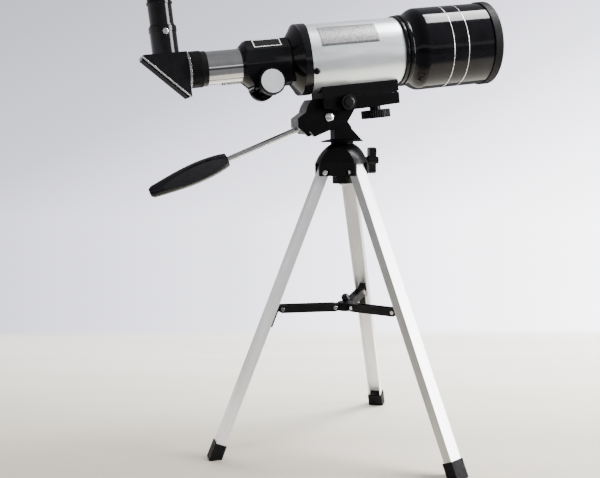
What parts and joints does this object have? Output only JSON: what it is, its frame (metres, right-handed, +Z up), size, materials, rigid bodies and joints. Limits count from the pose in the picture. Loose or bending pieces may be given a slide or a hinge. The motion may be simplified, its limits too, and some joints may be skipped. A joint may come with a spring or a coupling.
{
  "type": "telescope on tripod",
  "caption": "Short silver refractor telescope with a black dew shield, rack focuser, prism diagonal and eyepiece on a tilting pan head and a folding aluminium table tripod.",
  "frame": {"origin": "on the floor, in the plane of the three feet, where the pan axis meets it", "axes": "+Z up along the pan axis; +X is the way the telescope points at rest, seen from above; +Y to its left"},
  "size_m": [0.4099, 0.2998, 0.5225],
  "materials": {
    "aluminium": "satin",
    "black_metal": "satin",
    "brass": "satin",
    "chrome": "polished",
    "cork": "matte",
    "glass": "polished",
    "gloss_black": "gloss",
    "knob_silver": "satin",
    "label": "satin",
    "matte_black": "matte",
    "rubber": "matte",
    "silver_paint": "satin",
    "steel": "satin",
    "white_print": "gloss"
  },
  "bodies": {
    "crown": {"crown": "gloss_black", "hinge_pins": "chrome"},
    "pan": {"pan_base": "gloss_black", "pan_bolt": "steel"},
    "pan_lock": {"pan_lock_knob": "gloss_black"},
    "tilt": {"tilt_platform": "gloss_black", "tilt_pivot_bolt": "steel", "head_nuts": "steel", "platform_pad": "cork", "tube_shoe": "matte_black", "main_tube": "silver_paint", "tube_label": "label", "tube_screws": "black_metal", "dew_shield": "gloss_black", "front_ring": "matte_black", "objective_cell": "matte_black", "crown_lens": "glass", "flint_lens": "glass", "lens_spacer": "matte_black", "focuser_body": "gloss_black", "nameplate": "white_print", "pinion_cover": "gloss_black", "cover_screws": "steel"},
    "tilt_lock": {"tilt_lock_knob": "gloss_black"},
    "mount_lock": {"mount_knob": "matte_black", "mount_screw": "steel"},
    "handle": {"handle_rod": "chrome", "handle_grip": "gloss_black"},
    "drawtube": {"drawtube": "chrome", "focus_rack": "matte_black", "drawtube_collar": "matte_black"},
    "focus_knob": {"pinion": "brass", "focus_knobs": "matte_black", "knob_discs": "knob_silver"},
    "diagonal": {"diagonal_nose": "chrome", "diagonal_body": "gloss_black", "prism": "glass", "prism_plate": "aluminium", "diagonal_cover": "gloss_black", "eyepiece_holder": "gloss_black"},
    "eyepiece_lock": {"set_screw": "chrome"},
    "eyepiece": {"eyepiece_barrel": "chrome", "eyepiece_body": "gloss_black", "eyepiece_lenses": "glass", "eyecup": "rubber"},
    "leg_1": {"leg_1": "aluminium", "foot_1": "rubber", "leg_bracket_1": "matte_black"},
    "leg_2": {"leg_2": "aluminium", "foot_2": "rubber", "leg_bracket_2": "matte_black"},
    "leg_3": {"leg_3": "aluminium", "foot_3": "rubber", "leg_bracket_3": "matte_black"},
    "spreader": {"spreader_hub": "matte_black", "hub_knob": "gloss_black", "hub_pins": "steel"},
    "arm_1": {"spreader_arm_1": "matte_black"},
    "arm_2": {"spreader_arm_2": "matte_black"},
    "arm_3": {"spreader_arm_3": "matte_black"}
  },
  "joints": [
    {"name": "pan_turn", "type": "hinge", "parent": "crown", "child": "pan", "pos_m": [0, 0, 0.3575], "axis": [0, 0, 1], "continuous": true},
    {"name": "pan_lock_turn", "type": "hinge", "parent": "crown", "child": "pan_lock", "pos_m": [0.02993, -0.00209, 0.335], "axis": [0.9976, -0.0698, 0], "range_deg": [0, 360]},
    {"name": "tilt_turn", "type": "hinge", "parent": "pan", "child": "tilt", "pos_m": [-0.01918, 0, 0.38588], "axis": [0, -1, 0], "range_deg": [-15, 30]},
    {"name": "tilt_lock_turn", "type": "hinge", "parent": "tilt", "child": "tilt_lock", "pos_m": [0.00094, 0, 0.40145], "axis": [0, -1, 0], "range_deg": [0, 360]},
    {"name": "mount_knob_turn", "type": "hinge", "parent": "tilt", "child": "mount_lock", "pos_m": [0.04189, 0, 0.38869], "axis": [0.0802, 0, -0.9968], "range_deg": [0, 360]},
    {"name": "handle_twist", "type": "hinge", "parent": "tilt", "child": "handle", "pos_m": [-0.05657, 0, 0.37168], "axis": [-0.9348, 0, -0.3551], "range_deg": [0, 360]},
    {"name": "focus_slide", "type": "slide", "parent": "tilt", "child": "drawtube", "axis": [-0.9968, 0, -0.0802], "range_m": [-0.035, 0.022]},
    {"name": "focus_knob_turn", "type": "hinge", "parent": "tilt", "child": "focus_knob", "pos_m": [-0.08784, -0.00267, 0.42255], "axis": [0.0089, 0.9938, -0.1111], "range_deg": [-270, 425]},
    {"name": "diagonal_turn", "type": "hinge", "parent": "drawtube", "child": "diagonal", "pos_m": [-0.1686, 0, 0.43998], "axis": [-0.9968, 0, -0.0802], "continuous": true},
    {"name": "eyepiece_pull", "type": "slide", "parent": "diagonal", "child": "eyepiece", "axis": [-0.0802, 0.0332, 0.9962], "range_m": [0, 0.022]},
    {"name": "eyepiece_lock_turn", "type": "hinge", "parent": "diagonal", "child": "eyepiece_lock", "pos_m": [-0.19934, -0.01563, 0.47918], "axis": [-0.0027, -0.9995, 0.033], "range_deg": [0, 360]},
    {"name": "leg_1_fold", "type": "hinge", "parent": "crown", "child": "leg_1", "pos_m": [-0.02334, 0.00163, 0.3235], "axis": [-0.0698, -0.9976, 0], "range_deg": [0, 20]},
    {"name": "leg_2_fold", "type": "hinge", "parent": "crown", "child": "leg_2", "pos_m": [0.01026, -0.02103, 0.3235], "axis": [0.8988, 0.4384, 0], "range_deg": [-0.5, 20.5]},
    {"name": "leg_3_fold", "type": "hinge", "parent": "crown", "child": "leg_3", "pos_m": [0.01308, 0.0194, 0.3235], "axis": [-0.829, 0.5592, 0], "range_deg": [-0.5, 20.5]},
    {"name": "spreader_rise", "type": "slide", "parent": "crown", "child": "spreader", "axis": [0, 0, 1], "range_m": [-0.002, 0.0576]},
    {"name": "arm_1_fold", "type": "hinge", "parent": "spreader", "child": "arm_1", "pos_m": [-0.01397, 0.00098, 0.1665], "axis": [-0.0698, -0.9976, 0], "range_deg": [-2, 90]},
    {"name": "arm_2_fold", "type": "hinge", "parent": "spreader", "child": "arm_2", "pos_m": [0.00614, -0.01258, 0.1665], "axis": [0.8988, 0.4384, 0], "range_deg": [-2, 90]},
    {"name": "arm_3_fold", "type": "hinge", "parent": "spreader", "child": "arm_3", "pos_m": [0.00783, 0.01161, 0.1665], "axis": [-0.829, 0.5592, 0], "range_deg": [-2, 90]}
  ],
  "couplings": [
    {"joint": "focus_knob_turn", "follows": "focus_slide", "rad_per_m": -208.33},
    {"joint": "leg_2_fold", "follows": "leg_1_fold", "ratio": 1},
    {"joint": "leg_3_fold", "follows": "leg_1_fold", "ratio": 1},
    {"joint": "spreader_rise", "follows": "leg_1_fold", "m_per_rad": 0.15925},
    {"joint": "arm_1_fold", "follows": "leg_1_fold", "ratio": 4.3387},
    {"joint": "arm_2_fold", "follows": "leg_1_fold", "ratio": 4.3387},
    {"joint": "arm_3_fold", "follows": "leg_1_fold", "ratio": 4.3387}
  ]
}
